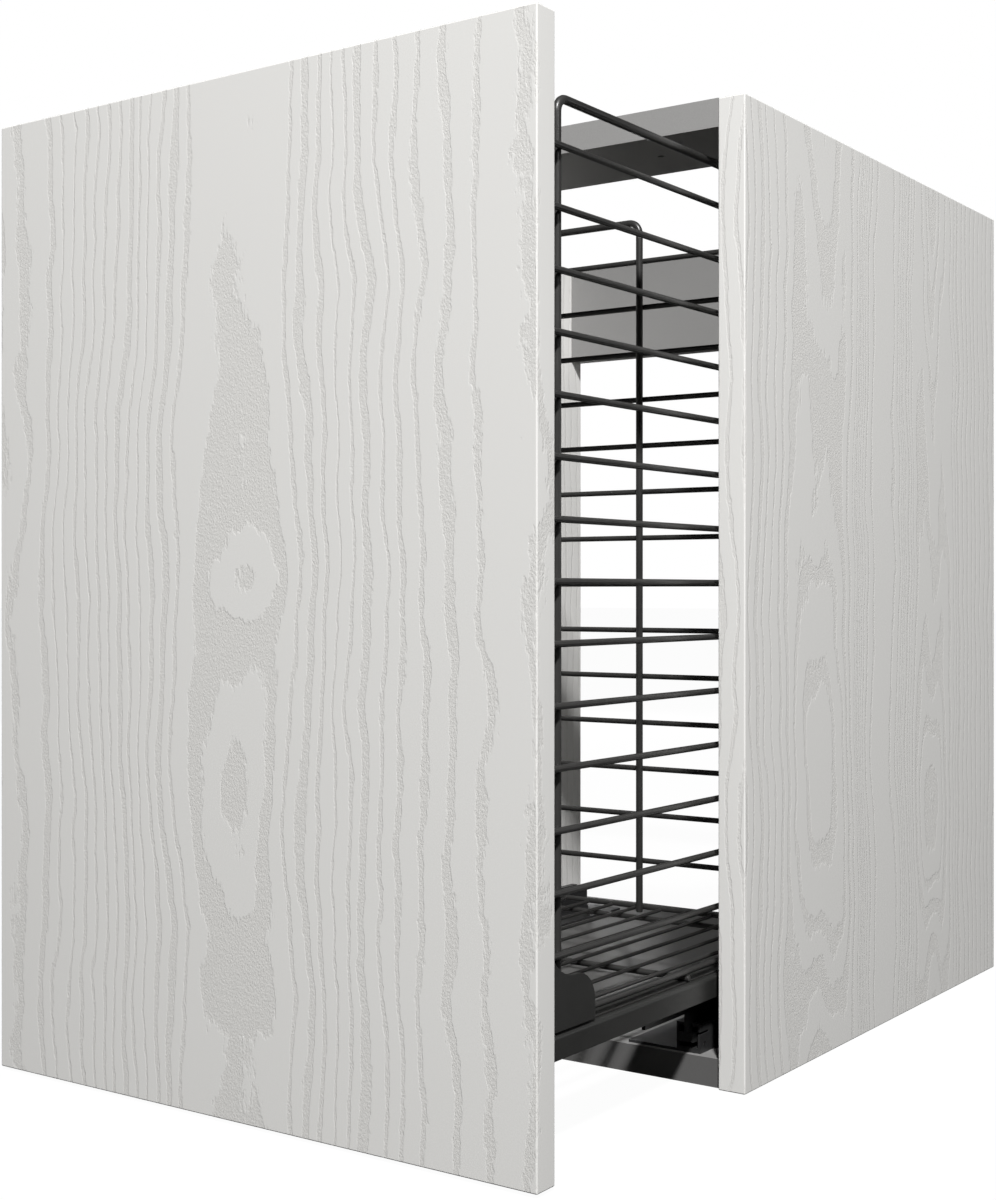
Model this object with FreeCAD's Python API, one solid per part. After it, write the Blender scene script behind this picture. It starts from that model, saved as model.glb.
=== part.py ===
import FreeCAD, Part
import math
import os

# A base cabinet with a pull-out: a slab door carries a deep wire basket on two telescopic runners.
# Lengths are millimetres. x runs to the right, y to the back and z up.
# The origin is the middle of the carcass footprint, on its underside.
# The pull-out is drawn part of the way open, at pull_out_at_rest in front of its closed place.

# ---------------------------------------------------------------- driving dimensions

# Carcass boards
cabinet_width = 500.0
cabinet_height = 720.0
cabinet_depth = 507.0
side_thickness = 22.0
bottom_thickness = 21.0
bottom_setback = 4.5
top_rail_thickness = 21.0
top_rail_depth = 100.0
back_rail_thickness = 19.0
back_rail_height = 103.0
edge_bevel = 1.0

# Joints and holes in the boards
dowel_diameter = 8.0
dowel_in_side = 11.0
dowel_in_board = 18.0
dowel_clearance = 0.1
dowel_end_gap = 0.6
dowel_inset = 22.0
leg_socket_diameter = 10.0
leg_socket_depth = 12.0
leg_inset_x = 55.0
leg_inset_y = 53.5
worktop_hole_diameter = 5.0
worktop_hole_inset = 100.0

# Door
door_thickness = 19.0
door_side_reveal = 2.25
door_bottom_reveal = 2.7
door_top_reveal = 7.5
door_closed_gap = 1.8
pull_out_at_rest = 236.0
buffer_diameter = 8.0
buffer_thickness = 1.5
buffer_inset = 18.0

# Runner: base plate and fixed rail
runner_to_side = 30.0
runner_setback = 9.0
runner_length = 450.0
base_plate_thickness = 2.0
base_plate_inner_width = 42.0
fixed_rail_width = 20.0
fixed_rail_height = 20.0
rail_sheet = 2.0
fixed_rail_lip = 7.0
rail_slit_length = 12.7
rail_slit_height = 2.0
rail_slit_rise = 12.0
stop_pin_diameter = 2.6
stop_pin_setback = 7.0
stop_pin_rise = 4.7
stop_pin_reach = 2.2

# Runner: rollers, cages and middle member
roller_diameter = 4.5
roller_clearance = 0.05
roller_pitch = 48.0
cage_sheet = 1.6
cage_wall = 1.0
cage_gap = 0.5
window_clearance = 0.25
foot_half_width = 6.0
head_half_width = 8.0
web_half_width = 1.5
web_to_cage = 1.2
middle_setback_closed = 63.5
middle_length = 393.0
middle_notch_length = 60.0
middle_notch_bottom = 51.0
lower_cage_setback_closed = 135.5
lower_cage_length = 192.0
upper_cage_setback_closed = 180.5
upper_cage_length = 150.0

# Share of the pull-out's travel that each part between it and the carcass makes
middle_share = 0.5
lower_cage_share = 0.25
upper_cage_share = 0.75

# Runner: inner rail under the frame
inner_rail_width = 24.8
inner_rail_height = 16.3
inner_rail_lip = 8.0

# Frame
frame_side_gap = 7.0
frame_top = 81.3
frame_width = 26.4
frame_flange_thickness = 2.5
frame_web_thickness = 4.2
frame_web_height = 16.8
frame_rounding = 3.8
frame_groove_width = 2.4
frame_groove_depth = 1.6
cross_bar_depth = 9.0
cross_bar_gap = 0.4

# Door bracket
bracket_sheet = 2.5
bracket_length = 85.7
bracket_arm_height = 34.7
bracket_corner_radius = 21.0
bracket_flare_radius = 30.0
bracket_leg_width = 32.3
bracket_leg_height = 108.0
bracket_leg_radius = 8.0
bracket_flange_width = 34.0
bracket_foot_length = 36.0
bracket_foot_width = 25.0
bracket_gap = 1.2

# Basket wires
hoop_wire = 4.6
hoop_count = 15
hoop_corner_radius = 25.0
hoop_side_gap = 12.1
hoop_door_gap = 15.0
hoop_length = 398.0
upright_wire = 6.0
upright_bend_radius = 10.0
upright_tail = 4.0
top_rod_rise = 33.1
top_rod_gap = 14.7
side_upright_spacing = 314.0
end_upright_spacing = 110.0
cross_wire = 4.6
cross_wire_inset = 24.0
cross_wire_overhang = 0.6
long_wire = 3.0
long_wire_pitch = 24.8
long_wire_margin = 5.0
long_wire_end_gap = 0.05

# Upper door clips
clip_width = 32.0
clip_height = 20.0
clip_base = 3.0
clip_boss_width = 13.0
clip_lip = 3.0
clip_clearance = 0.1
clip_screw_spacing = 23.0

# Screws
screw_head_diameter = 8.0
screw_head_height = 2.0
screw_shank_diameter = 4.0
screw_length = 15.0
screw_clearance = 0.1
screw_end_gap = 0.5
base_screw_spacing = 180.0
base_screw_count = 3
bracket_screw_spacing = 38.0
foot_screw_length = 6.0

# Number of flats on wires, shanks and dowels, on heads and on rollers, and of chords in one bend
wire_flat_count = 8
head_flat_count = 12
roller_flat_count = 10
bend_chord_count = 4

# ---------------------------------------------------------------- derived places

cabinet_front = -cabinet_depth / 2
cabinet_back = cabinet_depth / 2
outer_half = cabinet_width / 2
inner_half = outer_half - side_thickness
leg_x = outer_half - leg_inset_x
leg_y = cabinet_back - leg_inset_y
worktop_hole_x = outer_half - worktop_hole_inset

door_back = cabinet_front - door_closed_gap - pull_out_at_rest
door_front = door_back - door_thickness
door_half = outer_half - door_side_reveal
door_bottom = door_bottom_reveal
door_top = cabinet_height - door_top_reveal

runner_centre_x = inner_half - runner_to_side
base_plate_top = bottom_thickness + base_plate_thickness
runner_front = cabinet_front + runner_setback
runner_back = runner_front + runner_length
fixed_rail_top = base_plate_top + fixed_rail_height
fixed_floor = base_plate_top + rail_sheet
fixed_lip_under = fixed_rail_top - rail_sheet
roller_stack = roller_diameter + 2 * roller_clearance
foot_bottom = fixed_floor + roller_stack
foot_top = fixed_lip_under - roller_stack

frame_flange_under = frame_top - frame_flange_thickness
inner_rail_bottom = frame_flange_under - inner_rail_height
inner_lip_top = inner_rail_bottom + rail_sheet
inner_ceiling = frame_flange_under - rail_sheet
head_bottom = inner_lip_top + roller_stack
head_top = inner_ceiling - roller_stack
inner_rail_front = runner_front - pull_out_at_rest
inner_rail_back = inner_rail_front + runner_length

middle_front = cabinet_front + middle_setback_closed - middle_share * pull_out_at_rest
lower_cage_front = cabinet_front + lower_cage_setback_closed - lower_cage_share * pull_out_at_rest
upper_cage_front = cabinet_front + upper_cage_setback_closed - upper_cage_share * pull_out_at_rest

fixed_rail_outer = runner_centre_x + fixed_rail_width / 2
base_plate_inner = fixed_rail_outer - fixed_rail_width - base_plate_inner_width
base_screw_x = base_plate_inner + base_plate_inner_width / 2
stop_pin_y = runner_front + stop_pin_setback
stop_pin_z = base_plate_top + stop_pin_rise

frame_outer = inner_half - frame_side_gap
frame_web_inner = frame_outer - frame_web_thickness
frame_flange_inner = frame_outer - frame_width

cross_wire_z = frame_top + cross_wire / 2
cross_wire_top = frame_top + cross_wire
long_wire_z = cross_wire_top + long_wire / 2
lowest_hoop_z = cross_wire_top + hoop_wire / 2
top_rod_z = cabinet_height - top_rail_thickness - top_rod_gap - upright_wire / 2
highest_hoop_z = top_rod_z - top_rod_rise
hoop_pitch = (highest_hoop_z - lowest_hoop_z) / (hoop_count - 1)
upright_bottom_z = lowest_hoop_z - upright_tail
hoop_half_width = inner_half - hoop_side_gap - hoop_wire / 2
hoop_front = door_back + hoop_door_gap + hoop_wire / 2
hoop_back = hoop_front + hoop_length
hoop_middle = (hoop_front + hoop_back) / 2
upright_offset = (hoop_wire + upright_wire) / 2


# ---------------------------------------------------------------- shared operations

def box(x_range, y_range, z_range):
    """A block between two values on each axis."""
    size = [span[1] - span[0] for span in (x_range, y_range, z_range)]
    corner = FreeCAD.Vector(x_range[0], y_range[0], z_range[0])
    return Part.makeBox(size[0], size[1], size[2], corner)


def mirrored(shape):
    """The left-hand twin of a right-hand piece."""
    return shape.mirror(FreeCAD.Vector(0, 0, 0), FreeCAD.Vector(1, 0, 0))


def extruded_along_y(outline, y_start, y_end):
    """A section given as (x, z) points, drawn out between two depths."""
    points = [FreeCAD.Vector(x, y_start, z) for x, z in outline]
    face = Part.Face(Part.makePolygon(points + points[:1]))
    return face.extrude(FreeCAD.Vector(0, y_end - y_start, 0))


def flat_sided_section(centre, direction, across_flats, flats):
    """A regular polygon across a wire's axis, with one flat facing up or sideways."""
    reference = FreeCAD.Vector(0, 0, 1)
    if abs(direction.z) > 0.9:
        reference = FreeCAD.Vector(1, 0, 0)
    second = direction.cross(reference).normalize()
    corner_radius = across_flats / 2 / math.cos(math.pi / flats)
    corners = []
    for index in range(flats):
        angle = math.pi / flats + 2 * math.pi * index / flats
        offset = reference * math.cos(angle) + second * math.sin(angle)
        corners.append(centre + offset * corner_radius)
    return Part.makePolygon(corners + corners[:1])


def straight_wire(start, end, across_flats, flats=wire_flat_count):
    """A straight wire, pin or shank between two points."""
    start = FreeCAD.Vector(*start)
    end = FreeCAD.Vector(*end)
    direction = (end - start).normalize()
    face = Part.Face(flat_sided_section(start, direction, across_flats, flats))
    return face.extrude(end - start)


def bent_wire(points, across_flats):
    """A wire swept along chords, mitred where they meet; a closed path starts on a straight run."""
    points = [FreeCAD.Vector(*point) for point in points]
    direction = (points[1] - points[0]).normalize()
    section = flat_sided_section(points[0], direction, across_flats, wire_flat_count)
    mitred = 1
    return Part.makePolygon(points).makePipeShell([section], True, False, mitred)


def bend(centre, radius, quarter):
    """Points of one quarter turn of four, anticlockwise, in the plane of its two coordinates."""
    points = []
    for index in range(bend_chord_count + 1):
        angle = math.pi / 2 * (quarter + index / bend_chord_count)
        points.append((centre[0] + radius * math.cos(angle), centre[1] + radius * math.sin(angle)))
    return points


def bevelled(board, bevel=edge_bevel):
    """A board with all its edges broken."""
    return board.makeChamfer(bevel, board.Edges)


def screw(head_seat, direction, length=screw_length):
    """A pan-head screw; its head sits on head_seat and its shank runs along direction."""
    seat = FreeCAD.Vector(*head_seat)
    along = FreeCAD.Vector(*direction)
    head = straight_wire(seat - along * screw_head_height, seat, screw_head_diameter, head_flat_count)
    shank = straight_wire(seat, seat + along * length, screw_shank_diameter)
    return head.fuse(shank).removeSplitter()


def screw_hole(head_seat, direction, length=screw_length):
    """The hole that a screw's shank passes through and ends in."""
    seat = FreeCAD.Vector(*head_seat)
    along = FreeCAD.Vector(*direction)
    end = seat + along * (length + screw_end_gap)
    return straight_wire(seat - along, end, screw_shank_diameter + 2 * screw_clearance)


def export(node, solids):
    """Write one node, as one solid or a group of separate solids."""
    shape = solids[0] if len(solids) == 1 else Part.Compound(solids)
    shape.exportStep("parts/" + node + ".step")


def export_pair(name, right):
    """Write a right-hand piece and its left-hand twin."""
    export(name + "_right", right)
    export(name + "_left", [mirrored(solid) for solid in right])


# ---------------------------------------------------------------- carcass

def dowel_places():
    """Middle of each right-hand dowel's length, at the side panel's inner face, as (y, z)."""
    bottom_z = bottom_thickness / 2
    bottom_front = cabinet_front + bottom_setback
    top_z = cabinet_height - top_rail_thickness / 2
    back_y = cabinet_back - back_rail_thickness / 2
    return [
        (bottom_front + dowel_inset, bottom_z),
        (cabinet_back - dowel_inset, bottom_z),
        (cabinet_front + dowel_inset, top_z),
        (cabinet_front + top_rail_depth - dowel_inset, top_z),
        (back_y, cabinet_height - dowel_inset),
        (back_y, cabinet_height - back_rail_height + dowel_inset),
    ]


def dowel(y, z, extra_radius=0.0, extra_length=0.0):
    """One fluted dowel across the joint face, or its socket with extra size."""
    start = (inner_half - dowel_in_board - extra_length, y, z)
    end = (inner_half + dowel_in_side + extra_length, y, z)
    return straight_wire(start, end, dowel_diameter + 2 * extra_radius)


def dowel_sockets():
    sockets = [dowel(y, z, dowel_clearance, dowel_end_gap) for y, z in dowel_places()]
    return sockets + [mirrored(socket) for socket in sockets]


def side_panel():
    y_range = (cabinet_front, cabinet_back)
    panel = bevelled(box((inner_half, outer_half), y_range, (0, cabinet_height)))
    return panel.cut(dowel_sockets())


def bottom_panel():
    y_range = (cabinet_front + bottom_setback, cabinet_back)
    panel = box((-inner_half, inner_half), y_range, (0, bottom_thickness))
    cutters = dowel_sockets()
    for x_sign in (-1, 1):
        for y_sign in (-1, 1):
            place = FreeCAD.Vector(x_sign * leg_x, y_sign * leg_y, 0)
            cutters.append(Part.makeCylinder(leg_socket_diameter / 2, leg_socket_depth, place))
    for seat in base_screw_seats():
        cutters.append(screw_hole(seat, (0, 0, -1)))
        cutters.append(mirrored(cutters[-1]))
    return panel.cut(cutters)


def top_front_rail():
    y_range = (cabinet_front, cabinet_front + top_rail_depth)
    bottom = cabinet_height - top_rail_thickness
    rail = box((-inner_half, inner_half), y_range, (bottom, cabinet_height))
    cutters = dowel_sockets()
    middle = cabinet_front + top_rail_depth / 2
    for x in (-worktop_hole_x, worktop_hole_x):
        start = FreeCAD.Vector(x, middle, bottom)
        cutters.append(Part.makeCylinder(worktop_hole_diameter / 2, top_rail_thickness, start))
    return rail.cut(cutters)


def back_rail():
    y_range = (cabinet_back - back_rail_thickness, cabinet_back)
    z_range = (cabinet_height - back_rail_height, cabinet_height)
    return box((-inner_half, inner_half), y_range, z_range).cut(dowel_sockets())


# ---------------------------------------------------------------- fixed part of the runners

def base_screw_seats():
    """Places of the right-hand plate's screw heads, on its top."""
    middle = (runner_front + runner_back) / 2
    first = middle - base_screw_spacing * (base_screw_count - 1) / 2
    depths = [first + index * base_screw_spacing for index in range(base_screw_count)]
    return [(base_screw_x, y, base_plate_top) for y in depths]


def runner_base():
    x_range = (base_plate_inner, fixed_rail_outer)
    plate = box(x_range, (runner_front, runner_back), (bottom_thickness, base_plate_top))
    return plate.cut([screw_hole(seat, (0, 0, -1)) for seat in base_screw_seats()])


def channel_outline(half_width, low, high, lip, opens_up):
    """A lipped channel as (x, z) points around the runner's centre line."""
    outer = half_width
    inner = half_width - rail_sheet
    mouth = half_width - lip
    back, back_inner, lip_inner, lip_outer = low, low + rail_sheet, high - rail_sheet, high
    if not opens_up:
        back, back_inner, lip_inner, lip_outer = high, high - rail_sheet, low + rail_sheet, low
    half = [(outer, back), (outer, lip_outer), (mouth, lip_outer), (mouth, lip_inner)]
    half += [(inner, lip_inner), (inner, back_inner)]
    other = [(-x, z) for x, z in reversed(half)]
    return [(runner_centre_x + x, z) for x, z in half + other]


def stop_pin(extra_radius=0.0, extra_length=0.0):
    """The pin that keeps the lower roller cage in its rail, or its hole with extra size."""
    start = (fixed_rail_outer - rail_sheet - stop_pin_reach, stop_pin_y, stop_pin_z)
    end = (fixed_rail_outer + extra_length, stop_pin_y, stop_pin_z)
    return straight_wire(start, end, stop_pin_diameter + 2 * extra_radius)


def fixed_rail():
    outline = channel_outline(
        fixed_rail_width / 2, base_plate_top, fixed_rail_top, fixed_rail_lip, True)
    rail = extruded_along_y(outline, runner_front, runner_back)
    slit_z = base_plate_top + rail_slit_rise
    slit = box(
        (fixed_rail_outer - rail_sheet - 1, fixed_rail_outer + 1),
        (runner_front - 1, runner_front + rail_slit_length),
        (slit_z, slit_z + rail_slit_height))
    return rail.cut([slit, stop_pin(screw_clearance, 1.0)])


# ---------------------------------------------------------------- middle member and roller cages

def middle_member():
    """Two channels back to back: a foot in the fixed rail and a head in the inner rail."""
    half = [
        (head_half_width, head_top), (head_half_width, head_bottom),
        (web_half_width, head_bottom), (web_half_width, foot_top),
        (foot_half_width, foot_top), (foot_half_width, foot_bottom),
    ]
    other = [(-x, z) for x, z in reversed(half)]
    outline = [(runner_centre_x + x, z) for x, z in half + other]
    member = extruded_along_y(outline, middle_front, middle_front + middle_length)
    notch = box(
        (runner_centre_x - foot_half_width - 1, runner_centre_x + foot_half_width + 1),
        (middle_front - 1, middle_front + middle_notch_length),
        (foot_bottom - 1, middle_notch_bottom))
    return member.cut(notch)


class RollerCage:
    """A plastic cage wrapped around one flange of the middle member, with rollers above and below."""

    def __init__(self, flange_half_width, flange_bottom, flange_top, web_above, front, length):
        self.half_width = flange_half_width + cage_gap + cage_wall
        self.flange_half_width = flange_half_width
        gap_to_roller_axis = roller_clearance + roller_diameter / 2
        self.low_z = flange_bottom - gap_to_roller_axis
        self.high_z = flange_top + gap_to_roller_axis
        self.web_above = web_above
        self.front = front
        self.length = length

    def roller_depths(self):
        count = int((self.length - roller_pitch / 2) // roller_pitch)
        first = self.front + (self.length - (count - 1) * roller_pitch) / 2
        return [first + index * roller_pitch for index in range(count)]

    def roller_spans(self):
        """Each roller's x span and height: one on the plain side, two astride the web."""
        reach = self.flange_half_width - 2 * window_clearance
        near_web = web_half_width + web_to_cage + 2 * window_clearance
        web_z, plain_z = self.high_z, self.low_z
        if not self.web_above:
            web_z, plain_z = self.low_z, self.high_z
        return [((-reach, reach), plain_z), ((near_web, reach), web_z), ((-reach, -near_web), web_z)]

    def cage(self):
        half = cage_sheet / 2
        outer = self.half_width
        inner = outer - cage_wall
        plain, plain_inner = self.low_z - half, self.low_z + half
        lip_outer, lip_inner = self.high_z + half, self.high_z - half
        if not self.web_above:
            plain, plain_inner, lip_outer, lip_inner = lip_outer, lip_inner, plain, plain_inner
        mouth = web_half_width + web_to_cage
        side = [(outer, plain), (outer, lip_outer), (mouth, lip_outer), (mouth, lip_inner)]
        side += [(inner, lip_inner), (inner, plain_inner)]
        other = [(-x, z) for x, z in reversed(side)]
        outline = [(runner_centre_x + x, z) for x, z in side + other]
        body = extruded_along_y(outline, self.front, self.front + self.length)
        windows = []
        reach = roller_diameter / 2 + window_clearance
        for y in self.roller_depths():
            for (x_low, x_high), z in self.roller_spans():
                x_range = (
                    runner_centre_x + x_low - window_clearance,
                    runner_centre_x + x_high + window_clearance)
                windows.append(box(x_range, (y - reach, y + reach), (z - half - 0.1, z + half + 0.1)))
        return body.cut(windows)

    def rollers(self):
        rollers = []
        for y in self.roller_depths():
            for (x_low, x_high), z in self.roller_spans():
                start = (runner_centre_x + x_low, y, z)
                end = (runner_centre_x + x_high, y, z)
                rollers.append(straight_wire(start, end, roller_diameter, roller_flat_count))
        return rollers


lower_cage = RollerCage(
    foot_half_width, foot_bottom, foot_top, True, lower_cage_front, lower_cage_length)
upper_cage = RollerCage(
    head_half_width, head_bottom, head_top, False, upper_cage_front, upper_cage_length)


# ---------------------------------------------------------------- door, frame and brackets

def foot_screw_holes():
    """Holes of the screws that pass the bracket's foot and the frame rail into the inner rail."""
    return [screw_hole(seat, (0, 0, -1), foot_screw_length) for seat in foot_screw_seats()]


def inner_rail():
    outline = channel_outline(
        inner_rail_width / 2, inner_rail_bottom, frame_flange_under, inner_rail_lip, False)
    return extruded_along_y(outline, inner_rail_front, inner_rail_back).cut(foot_screw_holes())


def frame_rail():
    """A rolled angle: a flange over the inner rail and a web with a round shoulder outside it."""
    y = door_back
    shoulder_x = frame_outer - frame_rounding
    shoulder_z = frame_top - frame_rounding
    slant = math.sqrt(0.5) * frame_rounding
    groove_x = shoulder_x - frame_groove_width
    groove_low = frame_top - frame_groove_depth
    corners = [
        (shoulder_x, frame_top), (shoulder_x, groove_low),
        (groove_x, groove_low), (groove_x, frame_top), (frame_flange_inner, frame_top),
        (frame_flange_inner, frame_flange_under), (frame_web_inner, frame_flange_under),
        (frame_web_inner, frame_top - frame_web_height), (frame_outer, frame_top - frame_web_height),
        (frame_outer, shoulder_z),
    ]
    points = [FreeCAD.Vector(x, y, z) for x, z in corners]
    middle = FreeCAD.Vector(shoulder_x + slant, y, shoulder_z + slant)
    shoulder = Part.Arc(points[-1], middle, points[0]).toShape()
    face = Part.Face(Part.Wire(Part.makePolygon(points).Edges + [shoulder]))
    return face.extrude(FreeCAD.Vector(0, inner_rail_back - y, 0)).cut(foot_screw_holes())


def front_cross_bar():
    y_start = door_back + cross_bar_gap
    half = frame_web_inner
    z_range = (frame_top - frame_web_height, frame_flange_under)
    bar = box((-half, half), (y_start, y_start + cross_bar_depth), z_range)
    hollow = box(
        (-half, half), (y_start + rail_sheet, y_start + cross_bar_depth - rail_sheet),
        (z_range[0] + rail_sheet, z_range[1] - rail_sheet))
    return bar.cut(hollow)


def bracket_door_screw_seats():
    """Places of the right-hand bracket's screw heads, on the back of its door flange."""
    x = frame_outer - bracket_flange_width / 2
    y = door_back + bracket_sheet
    top = frame_top + bracket_leg_height - screw_head_diameter
    return [(x, y, top - index * bracket_screw_spacing) for index in range(3)]


def foot_screw_seats():
    """Places of the screws that hold the bracket's foot to the frame rail."""
    y = door_back + bracket_foot_length - 0.6 * screw_head_diameter
    inner = frame_outer - bracket_foot_width
    return [(inner + 0.8 * screw_head_diameter, y, frame_top + bracket_sheet)]


def door_bracket():
    """A pressed plate: an arm along the frame, a leg up the door, a door flange and a foot."""
    x = frame_outer - bracket_sheet
    arm_top = frame_top + bracket_arm_height
    arm_end = door_back + bracket_length
    leg_back = door_back + bracket_leg_width
    leg_top = frame_top + bracket_leg_height
    slant = math.sqrt(0.5)

    def point(y, z):
        return FreeCAD.Vector(x, y, z)

    def arc(start, centre, radius, y_side, z_side, end):
        middle = point(centre[0] + y_side * slant * radius, centre[1] + z_side * slant * radius)
        return Part.Arc(start, middle, end).toShape()

    corner = (arm_end - bracket_corner_radius, arm_top - bracket_corner_radius)
    flare = (leg_back + bracket_flare_radius, arm_top + bracket_flare_radius)
    crown = (leg_back - bracket_leg_radius, leg_top - bracket_leg_radius)
    arm_low = frame_top + bracket_gap
    low_front = point(door_back, arm_low)
    low_end = point(arm_end, arm_low)
    corner_start = point(arm_end, corner[1])
    corner_end = point(corner[0], arm_top)
    flare_start = point(flare[0], arm_top)
    flare_end = point(leg_back, flare[1])
    crown_start = point(leg_back, crown[1])
    crown_end = point(crown[0], leg_top)
    high_front = point(door_back, leg_top)
    edges = [
        Part.makeLine(low_front, low_end),
        Part.makeLine(low_end, corner_start),
        arc(corner_start, corner, bracket_corner_radius, 1, 1, corner_end),
        Part.makeLine(corner_end, flare_start),
        arc(flare_start, flare, bracket_flare_radius, -1, -1, flare_end),
        Part.makeLine(flare_end, crown_start),
        arc(crown_start, crown, bracket_leg_radius, 1, 1, crown_end),
        Part.makeLine(crown_end, high_front),
        Part.makeLine(high_front, low_front),
    ]
    plate = Part.Face(Part.Wire(edges)).extrude(FreeCAD.Vector(bracket_sheet, 0, 0))
    flange = box(
        (frame_outer - bracket_flange_width, frame_outer - bracket_sheet),
        (door_back, door_back + bracket_sheet), (frame_top, leg_top))
    foot = box(
        (frame_outer - bracket_foot_width, frame_outer - bracket_sheet),
        (door_back, door_back + bracket_foot_length), (frame_top, frame_top + bracket_sheet))
    holes = [screw_hole(seat, (0, -1, 0)) for seat in bracket_door_screw_seats()]
    holes += foot_screw_holes()
    return plate.fuse([flange, foot]).removeSplitter().cut(holes)


# ---------------------------------------------------------------- upper door clips

clip_z = highest_hoop_z - hoop_pitch / 2
clip_x = end_upright_spacing / 2
front_upright_y = hoop_front + upright_offset


def clip_screw_seats():
    """Places of the right-hand clip's screw heads, on its base."""
    y = door_back + clip_base
    return [(clip_x + side * clip_screw_spacing / 2, y, clip_z) for side in (-1, 1)]


def door_clip():
    """A base on the door and a boss whose slot snaps over an upright of the basket."""
    z_range = (clip_z - clip_height / 2, clip_z + clip_height / 2)
    slot_half = upright_wire / 2 + clip_clearance
    boss_back = front_upright_y + slot_half + clip_lip
    base = box(
        (clip_x - clip_width / 2, clip_x + clip_width / 2), (door_back, door_back + clip_base), z_range)
    boss = box(
        (clip_x - clip_boss_width / 2, clip_x + clip_boss_width / 2), (door_back, boss_back), z_range)
    slot = box(
        (clip_x - slot_half, clip_x + slot_half), (front_upright_y - slot_half, boss_back + 1),
        (z_range[0] - 1, z_range[1] + 1))
    holes = [screw_hole(seat, (0, -1, 0)) for seat in clip_screw_seats()]
    return base.fuse(boss).removeSplitter().cut([slot] + holes)


def door_screw_seats():
    return bracket_door_screw_seats() + clip_screw_seats()


def door_panel():
    x_range = (-door_half, door_half)
    panel = bevelled(box(x_range, (door_front, door_back), (door_bottom, door_top)))
    holes = []
    for seat in door_screw_seats():
        holes.append(screw_hole(seat, (0, -1, 0)))
        holes.append(mirrored(holes[-1]))
    return panel.cut(holes)


def door_buffers():
    """Soft discs on the door's back that meet the side panels' front edges."""
    x = outer_half - side_thickness / 2
    buffers = []
    for z in (door_bottom + buffer_inset, door_top - buffer_inset):
        start = (x, door_back, z)
        end = (x, door_back + buffer_thickness, z)
        buffers.append(straight_wire(start, end, buffer_diameter, head_flat_count))
    return buffers


# ---------------------------------------------------------------- wire basket

def hoop(z):
    """One closed wire hoop with four bends, joined in the middle of its front run."""
    x_centre = hoop_half_width - hoop_corner_radius
    y_centre = hoop_length / 2 - hoop_corner_radius
    joint = (0, hoop_front)
    flat_path = [joint]
    for quarter, (x_side, y_side) in enumerate(((1, -1), (1, 1), (-1, 1), (-1, -1))):
        centre = (x_side * x_centre, hoop_middle + y_side * y_centre)
        flat_path += bend(centre, hoop_corner_radius, quarter - 1)
    return bent_wire([(x, y, z) for x, y in flat_path + [joint]], hoop_wire)


def upright_path(half_span):
    """An arch as (along, z) points: up one side, two bends, and down the other."""
    radius = upright_bend_radius
    arch_z = top_rod_z - radius
    path = [(half_span, upright_bottom_z)]
    path += bend((half_span - radius, arch_z), radius, 0)
    path += bend((radius - half_span, arch_z), radius, 1)
    return path + [(-half_span, upright_bottom_z)]


def side_upright():
    x = hoop_half_width - upright_offset
    path = upright_path(side_upright_spacing / 2)
    return bent_wire([(x, hoop_middle + along, z) for along, z in path], upright_wire)


def end_upright(y):
    path = upright_path(end_upright_spacing / 2)
    return bent_wire([(along, y, z) for along, z in path], upright_wire)


def cross_wires():
    depths = (hoop_front + cross_wire_inset, hoop_middle, hoop_back - cross_wire_inset)
    reach = hoop_half_width + hoop_wire / 2 + cross_wire_overhang
    wires = []
    for y in depths:
        start = (-reach, y, cross_wire_z)
        end = (reach, y, cross_wire_z)
        wires.append(straight_wire(start, end, cross_wire))
    return wires


def long_wire_reach(x):
    """How far a floor wire runs each way from the basket's middle before it meets the hoop."""
    reach = (hoop_length - hoop_wire) / 2 - long_wire_end_gap
    bend_inner_radius = hoop_corner_radius - hoop_wire / 2
    into_bend = abs(x) + long_wire / 2 - (hoop_half_width - hoop_corner_radius)
    if into_bend > 0:
        chord_radius = bend_inner_radius * math.cos(math.pi / 4 / bend_chord_count)
        reach -= bend_inner_radius - math.sqrt(chord_radius ** 2 - into_bend ** 2)
    return reach


def long_wires():
    """Thin floor wires that lie on the cross wires and butt against the lowest hoop."""
    free_half = hoop_half_width - upright_offset - upright_wire / 2 - long_wire / 2
    per_side = int((free_half - long_wire_margin) // long_wire_pitch)
    wires = []
    for index in range(-per_side, per_side + 1):
        x = index * long_wire_pitch
        reach = long_wire_reach(x)
        start = (x, hoop_middle - reach, long_wire_z)
        end = (x, hoop_middle + reach, long_wire_z)
        wires.append(straight_wire(start, end, long_wire))
    return wires


# ---------------------------------------------------------------- writing the nodes

os.makedirs("parts", exist_ok=True)

export_pair("side_panel", [side_panel()])
export("bottom_panel", [bottom_panel()])
export("top_front_rail", [top_front_rail()])
export("back_rail", [back_rail()])
right_dowels = [dowel(y, z) for y, z in dowel_places()]
export("dowels", right_dowels + [mirrored(solid) for solid in right_dowels])

export_pair("runner_base", [runner_base()])
export_pair("fixed_rail", [fixed_rail()])
export("stop_pins", [stop_pin(), mirrored(stop_pin())])
base_screws = [screw(seat, (0, 0, -1)) for seat in base_screw_seats()]
export("base_screws", base_screws + [mirrored(solid) for solid in base_screws])

export_pair("middle_member", [middle_member()])
export_pair("lower_cage", [lower_cage.cage()])
export_pair("lower_rollers", lower_cage.rollers())
export_pair("upper_cage", [upper_cage.cage()])
export_pair("upper_rollers", upper_cage.rollers())

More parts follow.
